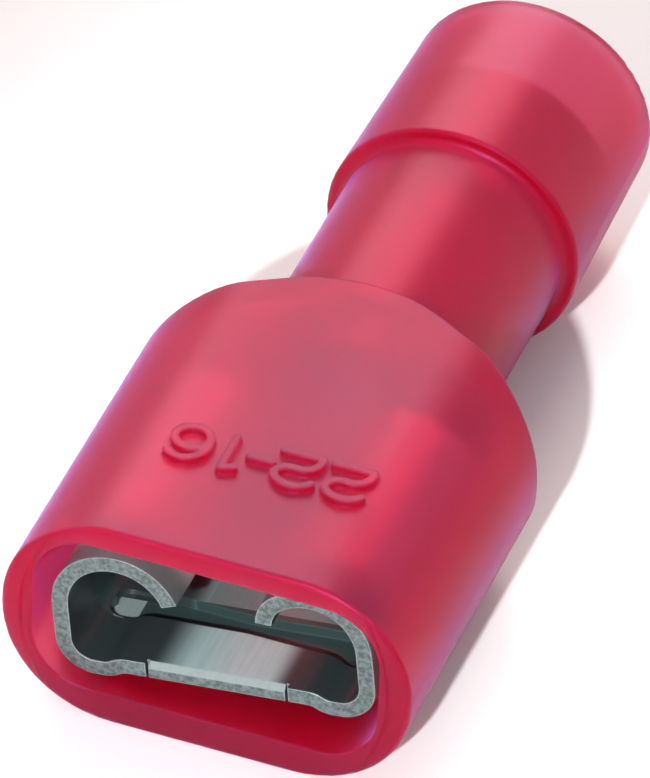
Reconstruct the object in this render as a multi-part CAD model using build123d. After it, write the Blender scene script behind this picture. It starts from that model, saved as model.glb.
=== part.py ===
from build123d import *

import os
from math import cos, radians, sin

# A fully insulated female push-on terminal for a 6.3 mm tab and a small stranded wire.
# Y runs along the terminal from the mouth to the wire end, X is its width and Z is up.
# The origin is the middle of the mouth's flat face. All lengths are millimetres.

# Contact: one stamping of tinned brass strip. Its place in the cavity comes further down.
stock = 0.39
contact_recess = 0.5
contact_length = 6.7
contact_side_clearance = 0.3
contact_floor_clearance = 0.4
contact_roof_clearance = 0.46
contact_corner_margin = 0.5
contact_roll_angle = 6.8

# Cavity of the shroud, a little nearer to the top than to the bottom
cavity_width = 8.3
cavity_height = 4.2
cavity_side_radius = 1.4
cavity_lift = 0.14
cavity_rear_clearance = 0.9
cavity_rise = 2.49
cavity_apex_radius = 3.2
cavity_corner_radius = 0.4
cavity_straight = contact_recess + contact_length + cavity_rear_clearance

# Shroud: the flat oval box that covers the contact
shroud_width = 9.8
shroud_height = 5.58
shroud_side_flat = 0.14
shoulder_wall = 0.26
shoulder_rise = 2.94
shoulder_apex_radius = 3.9
shoulder_corner_radius = 0.3
shoulder_edge_radius = 0.28
shoulder_side_margin = 0.06
shoulder_top_margin = 0.02
mouth_edge_radius = 0.12
shroud_straight = cavity_straight + shoulder_wall

# Circle that a round mould core leaves on the mouth's face
witness_radius = 4.35
witness_width = 0.1
witness_depth = 0.05

# Crimp barrel of the contact, and the funnel that leads to it
funnel_length = 2.2
funnel_end_flat = 0.13
barrel_length = 6.0
barrel_radius = 1.55
barrel_seam = 0.08
barrel_start = contact_recess + contact_length + funnel_length
barrel_end = barrel_start + barrel_length

# Sleeve that backs the barrel and grips the wire's insulation
sleeve_setback = 1.2
sleeve_overhang = 0.2
sleeve_step_length = 0.7
sleeve_grip_length = 3.0
sleeve_grip_radius = 2.34
sleeve_wall = 0.36
sleeve_slip = 0.02
sleeve_front = barrel_start + sleeve_setback
sleeve_step_start = barrel_end + sleeve_overhang
sleeve_step_end = sleeve_step_start + sleeve_step_length
sleeve_end = sleeve_step_end + sleeve_grip_length
sleeve_inner_radius = barrel_radius + sleeve_slip
sleeve_outer_radius = sleeve_inner_radius + sleeve_wall

# Neck and the wider wire entry
neck_radius = 2.75
neck_bore_clearance = 0.07
neck_overhang = 0.5
step_fillet_radius = 0.2
entry_step = 0.36
entry_taper = 0.14
entry_length = 5.6
entry_bore_clearance = 0.06
entry_rim_radius = 0.13
entry_lip_chamfer = 0.06
entry_lead_in = 0.3
entry_lead_in_rise = 0.15
neck_end = sleeve_step_start + neck_overhang
neck_bore_radius = sleeve_outer_radius + neck_bore_clearance
entry_bore_radius = sleeve_grip_radius + entry_bore_clearance

# Raised wire-size numerals 22-16 on the top face, which read from the wire end.
# Heights and widths run between the middles of the strokes; the shares are of those two.
numeral_height = 1.13
numeral_width = 0.95
numeral_stroke = 0.2
numeral_rise = 0.16
numeral_foot_y = 4.06
numeral_centres_x = [1.98, 0.76, -0.09, -0.84, -1.77]
two_shares = [
    [(-0.5, 0.8), (0, 1), (0.46, 0.74)],
    [(0.46, 0.74), (0.34, 0.53), (0, 0.46)],
    [(0, 0.46), (-0.4, 0.33), (-0.5, 0)],
    [(-0.5, 0), (0.5, 0)],
]
dash_shares = [[(-0.28, 0.45), (0.28, 0.45)]]
one_shares = [[(0, 0), (0, 1)], [(0, 1), (-0.29, 0.9)]]
six_shares = [
    [(-0.45, 0.36), (0, 0), (0.45, 0.36)],
    [(-0.45, 0.36), (0, 0.68), (0.45, 0.36)],
    [(-0.45, 0.36), (-0.4, 0.75), (-0.06, 1)],
    [(-0.06, 1), (0.22, 0.99), (0.43, 0.87)],
]

# Section of the contact's box: wings, walls and the floor's channels
left_wing_radius = 1.57
left_wing_sweep = 161.0
right_wing_radius = 1.48
right_wing_sweep = 126.0
right_tip_radius = 1.0
right_tip_sweep = 52.0
channel_flat = 0.2
channel_bend_radius = 0.55
channel_bend_angle = 32.0
contact_half_width = cavity_width / 2 - contact_side_clearance
channel_bottom_height = cavity_lift - cavity_height / 2 + contact_floor_clearance
wing_centre_height = cavity_lift + cavity_height / 2 - contact_roof_clearance - right_wing_radius
corner_radius = cavity_side_radius - contact_corner_margin

# Marks and the pressed groove on the contact's floor
cut_off_half_width = 1.68
cut_off_chamfer = 0.13
notch_width = 0.07
notch_depth = 0.16
groove_side_margin = 0.55
groove_start = 1.65
groove_length = 0.62
groove_skin = 0.12
groove_skew_angle = 7.2
groove_half_width = contact_half_width - groove_side_margin
groove_depth = stock - groove_skin

# How far a cutting solid runs past what it cuts
overrun = 1.0


def face_at(y):
    """A plane across the terminal at y, whose own x is X and whose own y is Z."""
    return Plane(origin=(0, y, 0), x_dir=(1, 0, 0), z_dir=(0, -1, 0))


def along(sketch, y, length):
    """The sketch, drawn across the terminal at y, pulled along the terminal."""
    return extrude(face_at(y) * sketch, amount=length, dir=(0, 1, 0))


def tube(y0, y1, r0, r1=None):
    """A round solid along the terminal from y0 to y1, straight or tapered."""
    r1 = r0 if r1 is None else r1
    start = face_at(y0) * Circle(r0)
    end = face_at(y1) * Circle(r1)
    return loft([start.face(), end.face()], ruled=True)


def gable(half_width, straight, rise, apex_radius, corner_radius):
    """A plan with straight sides and a rear end that slants to a rounded middle."""
    front = -overrun
    corners = [(half_width, straight), (0, straight + rise), (-half_width, straight)]
    plan = make_face(Polyline((-half_width, front), (half_width, front), *corners, close=True))
    rear = plan.vertices().filter_by(lambda v: v.Y > front)
    apex = rear.sort_by(Axis.Y)[-1:]
    plan = fillet(apex, apex_radius)
    sides = plan.vertices().filter_by(lambda v: abs(v.X) > half_width - corner_radius and v.Y > front)
    return fillet(sides, corner_radius)


def shoulder_block():
    """The shroud's plan with soft upper and lower edges, a hair larger than the oval."""
    half_width = shroud_width / 2 + shoulder_side_margin
    half_height = shroud_height / 2 + shoulder_top_margin
    plan = gable(half_width, shroud_straight, shoulder_rise, shoulder_apex_radius, shoulder_corner_radius)
    block = extrude(plan, amount=half_height, both=True)
    faces = block.faces().filter_by(Axis.Z)
    front = block.faces().sort_by(Axis.Y)[0]
    rims = faces.edges() - front.edges()
    return fillet(rims, shoulder_edge_radius)


def shroud_body():
    """The oval box: full-round sides, slanted rear end with a soft edge."""
    side_radius = (shroud_height - shroud_side_flat) / 2
    section = RectangleRounded(shroud_width, shroud_height, side_radius)
    body = along(section, 0, shroud_straight + shoulder_rise + overrun) & shoulder_block()
    front = body.edges().group_by(Axis.Y)[0]
    return fillet(front, mouth_edge_radius)


def shroud_cavity():
    """The hollow that holds the contact's box, with the same slanted rear end."""
    section = Pos(0, cavity_lift) * RectangleRounded(cavity_width, cavity_height, cavity_side_radius)
    hollow = along(section, -overrun, cavity_straight + cavity_rise + 2 * overrun)
    plan = gable(cavity_width / 2, cavity_straight, cavity_rise, cavity_apex_radius, cavity_corner_radius)
    return hollow & extrude(plan, amount=shroud_height / 2, both=True)


def neck_and_entry():
    """The round neck, and the wire entry with its flat step and rounded rear rim."""
    rear = neck_end + entry_length
    neck = tube(shroud_straight, neck_end + overrun, neck_radius)
    front_radius = neck_radius + entry_step
    entry = tube(neck_end, rear, front_radius, front_radius - entry_taper)
    rim = entry.edges().group_by(Axis.Y)[-1]
    entry = fillet(rim, entry_rim_radius)
    lip = entry.edges().group_by(Axis.Y)[0]
    entry = chamfer(lip, entry_lip_chamfer)
    body = neck + entry
    at_step = body.edges().filter_by_position(Axis.Y, neck_end - entry_lip_chamfer, neck_end + entry_lip_chamfer)
    inside = at_step.filter_by(GeomType.CIRCLE).sort_by(SortBy.RADIUS)[0]
    return fillet(inside, step_fillet_radius)


def housing_bores():
    """The bore through the neck, and the wider one of the wire entry with its lead-in."""
    rear = neck_end + entry_length
    neck_bore = tube(cavity_straight, neck_end + overrun, neck_bore_radius)
    step = tube(sleeve_step_start, sleeve_step_end, neck_bore_radius, entry_bore_radius)
    entry = tube(sleeve_step_end, rear + overrun, entry_bore_radius)
    wide = entry_bore_radius + entry_lead_in_rise
    mouth = tube(rear - entry_lead_in, rear, entry_bore_radius, wide)
    return neck_bore + step + entry + mouth


def witness_circle():
    """The shallow ring that a round core leaves on the mouth's face."""
    ring = Circle(witness_radius + witness_width) - Circle(witness_radius)
    return along(ring, -overrun, overrun + witness_depth)


def stroke(shares):
    """A round-ended stroke of a numeral, straight or bent through a middle point."""
    points = [(x * numeral_width, y * numeral_height) for x, y in shares]
    line = Line(*points) if len(points) == 2 else ThreePointArc(*points)
    ends = [Pos(*p) * Circle(numeral_stroke / 2) for p in (points[0], points[-1])]
    return trace(line, numeral_stroke) + ends


def numerals():
    """The wire range, read from the wire end, so its own x runs towards -X."""
    row = [two_shares, two_shares, dash_shares, one_shares, six_shares]
    sunk = shroud_height / 2 - numeral_rise
    plane = Plane(origin=(0, numeral_foot_y, sunk), x_dir=(-1, 0, 0), z_dir=(0, 0, 1))
    text = Sketch()
    for centre, strokes in zip(numeral_centres_x, row):
        for shares in strokes:
            text += Pos(-centre, 0) * stroke(shares)
    return extrude(plane * text, amount=2 * numeral_rise)


def housing():
    outside = shroud_body() + neck_and_entry() + numerals()
    return outside - shroud_cavity() - housing_bores() - witness_circle()


def strip_outline(y, start, heading, moves, thickness):
    """The face across the terminal of a strip that runs straight and bends.

    A move is a run's length, or a bend's middle radius and its angle, positive to the left.
    """
    half = thickness / 2
    x, z, angle = start[0], start[1], radians(heading)
    left, right = [], []

    def side(px, pz, a, offset):
        return Vector(px - offset * sin(a), y, pz + offset * cos(a))

    first = [side(x, z, angle, s) for s in (half, -half)]
    for move in moves:
        if not isinstance(move, tuple):
            nx, nz = x + move * cos(angle), z + move * sin(angle)
            left.append(Line(side(x, z, angle, half), side(nx, nz, angle, half)))
            right.append(Line(side(x, z, angle, -half), side(nx, nz, angle, -half)))
            x, z = nx, nz
            continue
        radius, turn = move
        way = 1 if turn > 0 else -1
        cx, cz = x - way * radius * sin(angle), z + way * radius * cos(angle)
        steps = [angle + radians(turn) * share for share in (0, 0.5, 1)]
        spots = [(cx + way * radius * sin(a), cz - way * radius * cos(a), a) for a in steps]
        left.append(ThreePointArc(*[side(*spot, half) for spot in spots]))
        right.append(ThreePointArc(*[side(*spot, -half) for spot in spots]))
        x, z, angle = spots[-1]
    last = [side(x, z, angle, s) for s in (half, -half)]
    caps = [Line(first[0], first[1]), Line(last[0], last[1])]
    return Face(Wire(left + right + caps))


def contact_box():
    """Floor with a raised middle, two walls and two rolled-in wings, as one section."""
    half = stock / 2
    wall_x = contact_half_width - half
    left_mid = left_wing_radius - half
    right_mid = right_wing_radius - half
    tip_mid = right_tip_radius - half
    channel_z = channel_bottom_height + half
    corner_mid = corner_radius - half
    left_angle = 180 - left_wing_sweep
    left_x = -wall_x + left_mid
    start = (
        left_x + left_mid * cos(radians(left_angle)),
        wing_centre_height + left_mid * sin(radians(left_angle)),
    )
    drop = wing_centre_height - channel_z - corner_mid
    bend = 2 * channel_bend_radius * sin(radians(channel_bend_angle))
    middle = 2 * (wall_x - corner_mid - channel_flat - bend)
    moves = [
        (left_mid, left_wing_sweep),
        drop,
        (corner_mid, 90),
        channel_flat,
        (channel_bend_radius, channel_bend_angle),
        (channel_bend_radius, -channel_bend_angle),
        middle,
        (channel_bend_radius, -channel_bend_angle),
        (channel_bend_radius, channel_bend_angle),
        channel_flat,
        (corner_mid, 90),
        drop,
        (right_mid, right_wing_sweep),
        (tip_mid, right_tip_sweep),
    ]
    section = strip_outline(contact_recess, start, left_angle + 90, moves, stock)
    return extrude(section, amount=contact_length, dir=(0, 1, 0))


def floor_top():
    """Height of the raised middle of the floor, on its upper side."""
    rise = 2 * channel_bend_radius * (1 - cos(radians(channel_bend_angle)))
    return channel_bottom_height + rise + stock


def floor_groove():
    """The groove across the floor, with round ends and a slightly skewed rear edge."""
    r = groove_length / 2
    tall = groove_depth + stock
    middle = Pos(0, contact_recess + groove_start + r, floor_top() - groove_depth)
    slot = SlotOverall(2 * groove_half_width, groove_length)
    square = extrude(slot, amount=tall)
    skewed = extrude(Rot(0, 0, -groove_skew_angle) * slot, amount=tall)
    return middle * (square + skewed)


def cut_off_marks():
    """Two fine notches beside the place where the strip was cut off."""
    marks = Part()
    for side in (-1, 1):
        spot = Pos(side * cut_off_half_width, contact_recess + notch_depth / 2, floor_top() - stock / 2)
        marks += spot * Box(notch_width, notch_depth, 2 * stock)
    return marks


def cut_off_bevel():
    """The bevel on the floor's front edge between the notches."""
    c = cut_off_chamfer
    y, z = contact_recess, floor_top()
    corner = Polyline((0, y, z), (0, y + c, z), (0, y, z - c), (0, y, z))
    wedge = Face(Wire(corner.edges()))
    wedge = extrude(wedge, amount=cut_off_half_width, dir=(1, 0, 0), both=True)
    return wedge


def trough(y, half_width, drop, top, radius):
    """A U of strip at y: two short walls, two corners and a flat floor."""
    half = stock / 2
    wall_x = half_width - half
    corner = radius - half
    floor = 2 * (wall_x - corner)
    moves = [drop, (corner, 90), floor, (corner, 90), drop]
    return strip_outline(y, (-wall_x, top), 270, moves, stock)


def funnel():
    """The folded neck that carries the box's floor and walls into the barrel."""
    box_end = contact_recess + contact_length
    half = stock / 2
    sink = -channel_bottom_height
    walls = sink - corner_radius
    wide = trough(box_end - stock, contact_half_width, walls, 0, corner_radius)
    round_corner = barrel_radius - funnel_end_flat
    narrow = trough(barrel_start + stock, barrel_radius, funnel_end_flat, 0, round_corner)
    return loft([wide, narrow], ruled=True)


def barrel():
    """The crimp barrel, rolled from the same strip, with its seam on top."""
    length = barrel_length
    ring = Circle(barrel_radius) - Circle(barrel_radius - stock)
    body = along(ring, barrel_start, length)
    seam = Box(barrel_seam, length + overrun, barrel_radius)
    return body - Pos(0, barrel_start + length / 2, barrel_radius) * seam


def contact():
    box = contact_box() - floor_groove() - cut_off_marks() - cut_off_bevel()
    body = box + funnel() + barrel()
    # the box sits a few degrees askew in its cavity, right side up
    return Rot(0, -contact_roll_angle, 0) * body


def crimp_sleeve():
    """A stepped tube: close on the barrel, then wider for the wire's insulation."""
    inner, outer = sleeve_inner_radius, sleeve_outer_radius
    grip_inner = sleeve_grip_radius - sleeve_wall
    solid = tube(sleeve_front, sleeve_step_start, outer)
    solid += tube(sleeve_step_start, sleeve_step_end, outer, sleeve_grip_radius)
    solid += tube(sleeve_step_end, sleeve_end, sleeve_grip_radius)
    hollow = tube(sleeve_front - overrun, sleeve_step_start, inner)
    hollow += tube(sleeve_step_start, sleeve_step_end, inner, grip_inner)
    hollow += tube(sleeve_step_end, sleeve_end + overrun, grip_inner)
    return solid - hollow


def write(name, shape):
    shape.label = name
    export_step(shape, f"parts/{name}.step")
    box = shape.bounding_box()
    print(name, "solids", len(shape.solids()), "volume", round(shape.volume, 2), "size", box.size)


os.makedirs("parts", exist_ok=True)
write("housing", housing())
write("contact", contact())
write("crimp_sleeve", crimp_sleeve())
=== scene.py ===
# %% [markdown]
# A fully insulated push-on terminal: a small electrical connector for a flat 6.3 mm tab.
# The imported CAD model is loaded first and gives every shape. It has three pieces: a moulded
# nylon housing, a tinned brass contact rolled from strip, and a drawn metal sleeve. All three
# have their real form already, so this script adds finishes, light, a table top and a camera.

import math

import bmesh
import bpy
from mathutils import Matrix, Vector


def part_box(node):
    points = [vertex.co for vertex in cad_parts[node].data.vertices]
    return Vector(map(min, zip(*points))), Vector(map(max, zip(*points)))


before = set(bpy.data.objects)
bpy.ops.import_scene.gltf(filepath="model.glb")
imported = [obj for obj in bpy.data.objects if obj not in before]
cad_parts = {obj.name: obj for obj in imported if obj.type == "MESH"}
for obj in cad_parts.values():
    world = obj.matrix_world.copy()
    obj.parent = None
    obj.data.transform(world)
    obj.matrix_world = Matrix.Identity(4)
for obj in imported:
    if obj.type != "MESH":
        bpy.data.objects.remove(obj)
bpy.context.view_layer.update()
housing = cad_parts["housing"]
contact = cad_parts["contact"]
crimp_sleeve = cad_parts["crimp_sleeve"]
mm = 0.001
print("loaded", sorted(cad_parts))

# %% [markdown]
# Colours are written as sRGB hex values, as a paint program shows them. Cycles reckons in
# linear light, so one function turns each value into linear numbers.

# %% Colours
def linear(hex_colour):
    channels = [int(hex_colour[i:i + 2], 16) / 255 for i in (1, 3, 5)]
    return [c / 12.92 if c <= 0.04045 else ((c + 0.055) / 1.055) ** 2.4 for c in channels]


def rgba(hex_colour):
    return (*linear(hex_colour), 1.0)


print("crimson in linear light", [round(c, 3) for c in linear("#C8204A")])

# %% [markdown]
# Every material here is a short chain of nodes. One function adds a node, sets its options,
# and fills its sockets with a value or a link, so that each material reads as a list.

# %% A node with its settings and links
def add_node(tree, kind, sockets=None, **settings):
    made = tree.nodes.new(kind)
    for key, value in settings.items():
        setattr(made, key, value)
    for key, value in (sockets or {}).items():
        if isinstance(value, bpy.types.NodeSocket):
            tree.links.new(value, made.inputs[key])
        else:
            made.inputs[key].default_value = value
    return made


def empty_material(name):
    material = bpy.data.materials.new(name)
    material.use_nodes = True
    material.node_tree.nodes.clear()
    return material, material.node_tree


def dress(piece, material):
    piece.data.materials.clear()
    piece.data.materials.append(material)


print("node helper ready")

# %% [markdown]
# The housing is injection-moulded nylon 66, dyed red. Nylon is partly crystalline, so it is
# translucent rather than clear: light enters it, strays, and leaves somewhere else, and the
# rims glow a deep crimson. A surface colour could imitate that, but the metal would not show
# through. So the mesh is filled with a volume of two parts: a dye, which takes away green and
# much of the blue along the way, and a haze, which turns the light aside about once in a
# millimetre. Both are given as the length that light goes before it meets them.

# %% The dyed filling
haze_path = 1.25 * mm
dye_path = 0.29 * mm

nylon, tree = empty_material("moulded_nylon_66_red_frosted")
dye = add_node(
    tree, "ShaderNodeVolumeAbsorption",
    {"Color": rgba("#FD0098"), "Density": 1 / dye_path},
)
haze = add_node(
    tree, "ShaderNodeVolumeScatter",
    {"Color": rgba("#FF489C"), "Density": 1 / haze_path},
)
filling = add_node(tree, "ShaderNodeAddShader")
tree.links.new(dye.outputs["Volume"], filling.inputs[0])
tree.links.new(haze.outputs["Volume"], filling.inputs[1])
print("light strays every", haze_path / mm, "mm")

# %% [markdown]
# The skin is frosted, as it comes from a mould with a dull finish: it blurs what it mirrors
# and what shines through. The real grain is too fine to show, so it is drawn coarser here. A
# Bevel node rounds the hard corners of the numerals and rims for the light, as a mould leaves
# them, and leaves the mesh as it is.
# Where the eye meets the skin at a slant, a plain glass surface would turn to a white mirror.
# The real part has a soft violet bloom there instead. So there are two skins, and Layer
# Weight goes from one to the other: one for what faces the eye, with an IOR near nylon's 1.5,
# and one for what slants away, with a low IOR against the mirror and a violet sheen.

# %% The frosted skin
frost_grain = 0.12 * mm
frost_depth = 0.004 * mm
soft_edge = 0.11 * mm

place = add_node(tree, "ShaderNodeTexCoord")
grain = add_node(
    tree, "ShaderNodeTexNoise",
    {"Vector": place.outputs["Object"], "Scale": 1 / frost_grain, "Detail": 2.0},
)
rounded = add_node(tree, "ShaderNodeBevel", {"Radius": soft_edge}, samples=4)
frost = add_node(
    tree, "ShaderNodeBump",
    {
        "Height": grain.outputs["Fac"],
        "Strength": 0.12,
        "Distance": frost_depth,
        "Normal": rounded.outputs["Normal"],
    },
)
facing_skin = add_node(
    tree, "ShaderNodeBsdfPrincipled",
    {
        "Base Color": rgba("#E8E8E8"),
        "Roughness": 0.36,
        "IOR": 1.48,
        "Transmission Weight": 1.0,
        "Specular Tint": rgba("#C484E0"),
        "Normal": frost.outputs["Normal"],
    },
)
slanting_skin = add_node(
    tree, "ShaderNodeBsdfPrincipled",
    {
        "Base Color": rgba("#E8E8E8"),
        "Roughness": 0.36,
        "IOR": 1.12,
        "Transmission Weight": 1.0,
        "Sheen Weight": 0.3,
        "Sheen Roughness": 0.42,
        "Sheen Tint": rgba("#9A88F4"),
        "Normal": frost.outputs["Normal"],
    },
)
slant = add_node(tree, "ShaderNodeLayerWeight", {"Blend": 0.5})
slanting = add_node(
    tree, "ShaderNodeMapRange",
    {"Value": slant.outputs["Facing"], "From Min": 0.42, "From Max": 0.78},
    interpolation_type="SMOOTHSTEP",
)
skin = add_node(tree, "ShaderNodeMixShader", {"Fac": slanting.outputs["Result"]})
tree.links.new(facing_skin.outputs["BSDF"], skin.inputs[1])
tree.links.new(slanting_skin.outputs["BSDF"], skin.inputs[2])
add_node(
    tree, "ShaderNodeOutputMaterial",
    {"Surface": skin.outputs["Shader"], "Volume": filling.outputs["Shader"]},
)
dress(housing, nylon)
print(nylon.name, "on", housing.name)

# %% [markdown]
# The contact is stamped and rolled from brass strip that was plated with tin first. Tin is a
# soft grey metal with a satin shine, and the rolling mill leaves fine lines along the strip.
# The outer side shows its bright plating under the roof. The base tone of the inside is a dark
# teal painted shade, with a painted highlight across the floor, and the outer side near the
# mouth is painted shade too; the shear left a rough end at the front. The tones were set one by
# one. A painted texture could hold them, but tones that follow place and direction need no
# picture and stay sharp from near by.
# First come the bare quantities: where a point is, which way it faces, how far its corner
# bends, and two patterns, lines from the rolling mill and pits from the shear. Both are finer
# on real strip, and are drawn as coarse as they need to be to show.

# %% Place, direction and patterns on the strip
line_width = 0.1 * mm
line_stretch = 0.06
pit_size = 0.09 * mm
# The Bevel radius rounds the corners for the light and also marks where the corners get a
# painted highlight.
corner_rounding = 0.06 * mm

tinned, tree = empty_material("tin_plated_brass_strip")
place = add_node(tree, "ShaderNodeTexCoord")
where = add_node(tree, "ShaderNodeSeparateXYZ", {"Vector": place.outputs["Object"]})
form = add_node(tree, "ShaderNodeNewGeometry")
facing = add_node(tree, "ShaderNodeSeparateXYZ", {"Vector": form.outputs["Normal"]})
aside = add_node(tree, "ShaderNodeMath", {0: where.outputs["X"]}, operation="ABSOLUTE")
stretch = add_node(
    tree, "ShaderNodeMapping",
    {"Vector": place.outputs["Object"], "Scale": (1.0, line_stretch, 1.0)},
)
lines = add_node(
    tree, "ShaderNodeTexNoise",
    {"Vector": stretch.outputs["Vector"], "Scale": 1 / line_width, "Detail": 3.0},
)
pits = add_node(
    tree, "ShaderNodeTexNoise",
    {"Vector": place.outputs["Object"], "Scale": 1 / pit_size, "Detail": 3.0},
)
rounded_edges = add_node(tree, "ShaderNodeBevel", {"Radius": corner_rounding}, samples=4)
bend = add_node(
    tree, "ShaderNodeVectorMath",
    {0: rounded_edges.outputs["Normal"], 1: form.outputs["Normal"]},
    operation="DOT_PRODUCT",
)
quantities = {
    "x": where.outputs["X"],
    "y": where.outputs["Y"],
    "z": where.outputs["Z"],
    "aside": aside.outputs["Value"],
    "facing y": facing.outputs["Y"],
    "facing up": facing.outputs["Z"],
    "lines": lines.outputs["Fac"],
    "pits": pits.outputs["Fac"],
    "bend": bend.outputs["Value"],
}
print("quantities", sorted(quantities))

# %% [markdown]
# Then come the masks, which are 1 where a tone belongs and 0 elsewhere. A ramp goes softly
# from 0 to 1 between two values of a quantity. Ramps give soft borders to the painted
# highlight across the floor, to the painted shade near the mouth, to the pits of the shear
# and to the painted highlight on the corners.

# %% Soft masks on the strip
# These two bound a painted highlight across the middle of the floor, fading out towards both
# walls.
floor_highlight_left = (-1.5 * mm, -0.5 * mm)
floor_highlight_right = (1.8 * mm, 1.2 * mm)
# Between these depths the outer side goes from painted shade near the mouth to its bright
# plating under the roof.
mouth_shade_fade = (0.9 * mm, 2.4 * mm)

ramps = {
    "floor highlight begins": ("x", floor_highlight_left, "SMOOTHSTEP"),
    "floor highlight ends": ("x", floor_highlight_right, "SMOOTHSTEP"),
    "under the roof": ("y", mouth_shade_fade, "SMOOTHSTEP"),
    "torn": ("pits", (0.36, 0.62), "LINEAR"),
    "at the corner": ("bend", (0.99, 0.86), "LINEAR"),
}
masks = dict(quantities)
for name, (quantity, (start, end), course) in ramps.items():
    made = add_node(
        tree, "ShaderNodeMapRange",
        {"Value": masks[quantity], "From Min": start, "From Max": end},
        interpolation_type=course,
    )
    masks[name] = made.outputs["Result"]
print(len(ramps), "ramps")

# %% [markdown]
# A step compares a quantity with a limit, or joins two masks: MULTIPLY keeps what both have,
# and MAXIMUM what either has. Each row names its mask, and later rows use the earlier ones.
# One loop over such a list does what some thirty blocks of the same node would do.

# %% Sharp masks on the strip
wall_face = 3.56 * mm
box_end = 7.2 * mm
wing_foot = 0.3 * mm
floor_top = -0.2 * mm
groove_front = 2.12 * mm
groove_rear = 2.95 * mm
groove_left_end = -2.45 * mm
groove_bed = -1.5 * mm
# Right of this line the rear floor has painted light; left of it the dark base tone stands as
# painted shadow of the left wing.
rear_shadow_edge = -1.0 * mm
end_depth = 0.72 * mm

steps = {
    "wall's outside": ("aside", "GREATER_THAN", wall_face),
    "looks up": ("facing up", "GREATER_THAN", 0.05),
    "high": ("z", "GREATER_THAN", wing_foot),
    "wing's outside": ("looks up", "MULTIPLY", "high"),
    "behind the box": ("y", "GREATER_THAN", box_end),
    "outside of the box": ("wall's outside", "MAXIMUM", "wing's outside"),
    "outside": ("outside of the box", "MAXIMUM", "behind the box"),
    "bright outside": ("outside", "MULTIPLY", "under the roof"),
    "low": ("z", "LESS_THAN", floor_top),
    # A painted highlight across the middle of the floor, low in the box.
    "floor highlight band": ("floor highlight begins", "MULTIPLY", "floor highlight ends"),
    "floor with painted highlight": ("floor highlight band", "MULTIPLY", "low"),
    "past the groove": ("y", "GREATER_THAN", groove_rear),
    # Painted light on the rear floor behind the groove, right of a painted shadow edge.
    "right of the shadow edge": ("x", "GREATER_THAN", rear_shadow_edge),
    "rear right": ("past the groove", "MULTIPLY", "right of the shadow edge"),
    "lit rear floor": ("rear right", "MULTIPLY", "low"),
    "groove begins": ("y", "GREATER_THAN", groove_front),
    "groove ends": ("y", "LESS_THAN", groove_rear),
    "along the groove": ("groove begins", "MULTIPLY", "groove ends"),
    # The groove is drawn in painted shade.
    "groove": ("along the groove", "MULTIPLY", "low"),
    "left end": ("x", "LESS_THAN", groove_left_end),
    "flat": ("facing up", "GREATER_THAN", 0.6),
    "deep": ("z", "LESS_THAN", groove_bed),
    "left and flat": ("left end", "MULTIPLY", "flat"),
    "left, flat and deep": ("left and flat", "MULTIPLY", "deep"),
    # A painted light at the left end of the groove.
    "groove's end": ("groove", "MULTIPLY", "left, flat and deep"),
    "looks front": ("facing y", "LESS_THAN", -0.5),
    "near the mouth": ("y", "LESS_THAN", end_depth),
    "sheared end": ("looks front", "MULTIPLY", "near the mouth"),
    "torn end": ("sheared end", "MULTIPLY", "torn"),
    # A painted highlight along the rounded corners of the sheared end.
    "corner with painted highlight": ("sheared end", "MULTIPLY", "at the corner"),
    "looks half up": ("facing up", "GREATER_THAN", 0.4),
    # A painted highlight on the upward bevel of the sheared end.
    "highlit end bevel": ("sheared end", "MULTIPLY", "looks half up"),
}
for name, (first, operation, second) in steps.items():
    made = add_node(
        tree, "ShaderNodeMath",
        {0: masks[first], 1: masks.get(second, second)},
        operation=operation,
    )
    masks[name] = made.outputs["Value"]
print(len(steps), "steps")

# %% [markdown]
# The tones lie over each other like thin coats of paint: each row covers what its mask lets
# through. Most rows are painted light and shade: the base tone is painted shade inside the
# box, the floor has a painted highlight and the rear floor painted light, the groove is painted
# shade with painted light at its left end, the outer side near the mouth is painted shade, and
# the corners and the bevel of the sheared end get painted highlights. Under the roof the outer
# side shows its bright plating and is a mirror. Everywhere else the metal is dull and scatters
# the light, so Metallic follows the mask of the bright outside. The fine lines darken the metal
# a little, and a bump of six thousandths of a millimetre lets them catch the light.

# %% Tinned brass strip
# The base tone is a dark teal painted shade for the inside of the box; the teal also cancels
# the red light from the nylon.
painted_shade_inside = "#2E3839"
coats = {
    # Painted highlight on the floor, lighter in the middle.
    "floor with painted highlight": "#9EC0BE",
    # Painted light on the rear floor.
    "lit rear floor": "#6A7E7C",
    # Painted shade in the groove.
    "groove": "#314644",
    # Painted light at the left end of the groove.
    "groove's end": "#93A6A4",
    # Painted shade on the outer side near the mouth; under the roof the bright plating takes
    # over.
    "outside": "#546A68",
    "bright outside": "#E8EDED",
    "sheared end": "#404C4B",
    "torn end": "#687675",
    # Painted highlight on the corners of the sheared end.
    "corner with painted highlight": "#AAB8B7",
    # Painted highlight on the upward bevel of the sheared end.
    "highlit end bevel": "#84928F",
}
line_colour = "#3E4848"
line_depth = 0.006 * mm

tone = rgba(painted_shade_inside)
for mask, colour in coats.items():
    coat = add_node(
        tree, "ShaderNodeMix",
        {"Factor": masks[mask], "A": tone, "B": rgba(colour)},
        data_type="RGBA",
    )
    tone = coat.outputs["Result"]

streaks = add_node(
    tree, "ShaderNodeMapRange",
    {"Value": masks["lines"], "From Min": 0.45, "From Max": 0.75, "To Max": 0.13},
)
drawn_tin = add_node(
    tree, "ShaderNodeMix",
    {"Factor": streaks.outputs["Result"], "A": tone, "B": rgba(line_colour)},
    data_type="RGBA",
)
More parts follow.
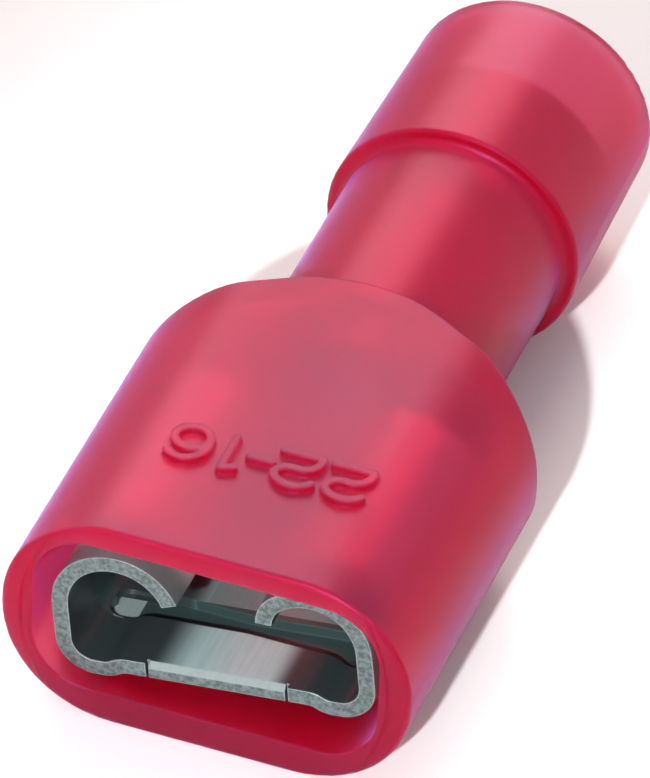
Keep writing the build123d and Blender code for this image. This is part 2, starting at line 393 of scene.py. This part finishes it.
# Metallic is full only on the bright plating; the places with painted shade are dull.
plated = add_node(
    tree, "ShaderNodeMapRange",
    {"Value": masks["bright outside"], "To Min": 0.12, "To Max": 1.0},
)
rolled = add_node(
    tree, "ShaderNodeBump",
    {
        "Height": masks["lines"],
        "Strength": 0.25,
        "Distance": line_depth,
        "Normal": rounded_edges.outputs["Normal"],
    },
)
metal = add_node(
    tree, "ShaderNodeBsdfPrincipled",
    {
        "Base Color": drawn_tin.outputs["Result"],
        "Metallic": plated.outputs["Result"],
        "Roughness": 0.35,
        "Normal": rolled.outputs["Normal"],
    },
)
add_node(tree, "ShaderNodeOutputMaterial", {"Surface": metal.outputs["BSDF"]})
dress(contact, tinned)
print(tinned.name, "on", contact.name, "with", len(coats), "coats")

# %% [markdown]
# The sleeve is a drawn tube with the same plating. From the front it shows only through the
# nylon of the neck, as a soft bright line along its top, and from behind its end shows in the
# wire entry. Nothing finer comes through the haze, so a plain satin metal is enough.

# %% Tinned sleeve
drawn, tree = empty_material("tin_plated_drawn_tube")
metal = add_node(
    tree, "ShaderNodeBsdfPrincipled",
    {"Base Color": rgba("#E8ECEC"), "Metallic": 1.0, "Roughness": 0.34},
)
add_node(tree, "ShaderNodeOutputMaterial", {"Surface": metal.outputs["BSDF"]})
dress(crimp_sleeve, drawn)
print(drawn.name, "on", crimp_sleeve.name)

# %% [markdown]
# The terminal lies on a white table. Its wire entry is the thickest part, so it touches the
# table there and at the lower edge of the mouth, and the table slopes by a degree in the
# part's own frame. The part stays where the CAD model has it, so it is the table that turns.
# The table is a plain matt white board, so it takes the soft shadow as a real one does.

# %% The white table
shroud_bottom = -2.79 * mm
entry_front = 16.1 * mm
table_reach = 1.5
entry_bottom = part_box("housing")[0].z
slope = math.atan2(entry_bottom - shroud_bottom, entry_front)

floor_mesh = bpy.data.meshes.new("table_top")
sheet = bmesh.new()
bmesh.ops.create_grid(sheet, x_segments=1, y_segments=1, size=table_reach)
tilt = Matrix.Translation((0, 0, shroud_bottom)) @ Matrix.Rotation(slope, 4, "X")
bmesh.ops.transform(sheet, matrix=tilt, verts=sheet.verts)
sheet.to_mesh(floor_mesh)
sheet.free()
table_top = bpy.data.objects.new("table_top", floor_mesh)
bpy.context.scene.collection.objects.link(table_top)

white, tree = empty_material("matt_white_board")
board = add_node(
    tree, "ShaderNodeBsdfPrincipled",
    {"Base Color": rgba("#F4F4F4"), "Roughness": 0.9},
)
add_node(tree, "ShaderNodeOutputMaterial", {"Surface": board.outputs["BSDF"]})
dress(table_top, white)
print("table slopes by", round(math.degrees(slope), 2), "degrees")

# %% [markdown]
# The light is that of a white tent, an even and slightly cool white from all round. As light
# on the part it is held back, so that the lamps still model the form. As a wall that the
# camera, mirrors and glass see, it is nearly plain white. Light Path tells the two apart.

# %% The tent
world = bpy.data.worlds.new("white_tent")
bpy.context.scene.world = world
world.use_nodes = True
tree = world.node_tree
tree.nodes.clear()
path = add_node(tree, "ShaderNodeLightPath")
camera_or_mirror = add_node(
    tree, "ShaderNodeMath",
    {0: path.outputs["Is Camera Ray"], 1: path.outputs["Is Glossy Ray"]},
    operation="MAXIMUM",
)
seen = add_node(
    tree, "ShaderNodeMath",
    {0: camera_or_mirror.outputs["Value"], 1: path.outputs["Is Transmission Ray"]},
    operation="MAXIMUM",
)
fill = add_node(tree, "ShaderNodeBackground", {"Color": rgba("#F4F6FF"), "Strength": 0.6})
wall = add_node(tree, "ShaderNodeBackground", {"Color": rgba("#F4F0FF"), "Strength": 1.0})
tent = add_node(tree, "ShaderNodeMixShader", {"Fac": seen.outputs["Value"]})
tree.links.new(fill.outputs["Background"], tent.inputs[1])
tree.links.new(wall.outputs["Background"], tent.inputs[2])
add_node(tree, "ShaderNodeOutputWorld", {"Surface": tent.outputs["Shader"]})
print("tent ready")

# %% [markdown]
# Three large soft boxes stand behind, above and to the left. The one behind matters most: a
# tube along the view mirrors what stands behind it, so this box draws the bright line on the
# neck and on the rolled wing under the roof. It is a little warm and the left one violet,
# which gives the nylon its two hues. The lamps are soft, because a hard one would burn a
# white spot into the satin skin. Places and sizes are in metres, as in Blender's own panels.

# %% The soft boxes
middle = Vector((0, 10 * mm, 0))


def soft_box(name, place, size, power, colour):
    lamp = bpy.data.lights.new(name, "AREA")
    lamp.shape = "RECTANGLE"
    lamp.size, lamp.size_y = size
    lamp.energy = power
    lamp.color = linear(colour)
    holder = bpy.data.objects.new(name, lamp)
    holder.location = place
    holder.rotation_euler = (middle - Vector(place)).to_track_quat("-Z", "Y").to_euler()
    bpy.context.scene.collection.objects.link(holder)


soft_box(
    "rear_soft_box", place=(-0.11, 0.34, 0.29), size=(0.28, 0.36), power=1.35, colour="#FFE0CC",
)
soft_box(
    "top_soft_box", place=(-0.10, -0.02, 0.42), size=(0.4, 0.4), power=0.1, colour="#FFFFFF",
)
soft_box(
    "left_soft_box", place=(-0.42, 0.05, 0.12), size=(0.4, 0.25), power=0.25, colour="#C8C0FF",
)
print("soft boxes ready")

# %% [markdown]
# Light that reaches the metal through the nylon is red, and the real metal looks grey. So a
# lamp with a narrow snoot sends plain white light straight into the mouth. Its cone fades
# towards the rim and is just wide enough for the mouth, so the rest of the part keeps the
# light of the tent.

# %% The lamp into the mouth
snoot_place = Vector((0.03, -0.27, 0.17))
inside_mouth = Vector((0, 2 * mm, -0.3 * mm))
cone_degrees = 2.2

snoot_lamp = bpy.data.lights.new("snoot_into_the_mouth", "SPOT")
snoot_lamp.energy = 30.0
snoot_lamp.spot_size = math.radians(cone_degrees)
snoot_lamp.spot_blend = 0.7
snoot_lamp.shadow_soft_size = 12 * mm
snoot = bpy.data.objects.new("snoot_into_the_mouth", snoot_lamp)
snoot.location = snoot_place
snoot.rotation_euler = (inside_mouth - snoot_place).to_track_quat("-Z", "Y").to_euler()
bpy.context.scene.collection.objects.link(snoot)
cone_width = 2 * (inside_mouth - snoot_place).length * math.tan(snoot_lamp.spot_size / 2)
print("cone at the mouth", round(cone_width / mm, 1), "mm wide")

# %% [markdown]
# The camera is the one of the photograph: a long lens, from the right of the mouth and well
# above it, held a little askew. Its angles were fitted to the outline of the real part.

# %% The camera
azimuth, elevation, roll = (math.radians(a) for a in (18.787, 39.330, 2.7037))
target = Vector((-0.171, 8.005, 1.563)) * mm
distance = 300 * mm
picture_height_px = 778
focal_length_px = 13193.17

back = Vector((
    math.sin(azimuth) * math.cos(elevation),
    -math.cos(azimuth) * math.cos(elevation),
    math.sin(elevation),
))
level = Vector((math.cos(azimuth), math.sin(azimuth), 0))
upright = back.cross(level)
right = level * math.cos(roll) + upright * math.sin(roll)
up = upright * math.cos(roll) - level * math.sin(roll)

lens = bpy.data.cameras.new("camera")
lens.sensor_fit = "VERTICAL"
lens.sensor_height = 36.0
lens.lens = lens.sensor_height * focal_length_px / picture_height_px
camera = bpy.data.objects.new("camera", lens)
aim = Matrix((right, up, back)).transposed().to_4x4()
camera.matrix_world = Matrix.Translation(target + back * distance) @ aim
bpy.context.scene.collection.objects.link(camera)
bpy.context.scene.camera = camera
print("camera at", [round(c / mm, 1) for c in camera.matrix_world.translation], "mm")

# %% [markdown]
# Light in the nylon turns many times before it leaves. Cycles stops a path after a few turns
# unless it is told otherwise, and the nylon would go dark, so the limits are raised here.

# %% View and light paths
scene = bpy.context.scene
scene.view_settings.view_transform = "Standard"
scene.cycles.max_bounces = 64
scene.cycles.transmission_bounces = 48
scene.cycles.volume_bounces = 32
scene.cycles.glossy_bounces = 8
print("paths of up to", scene.cycles.max_bounces, "turns")
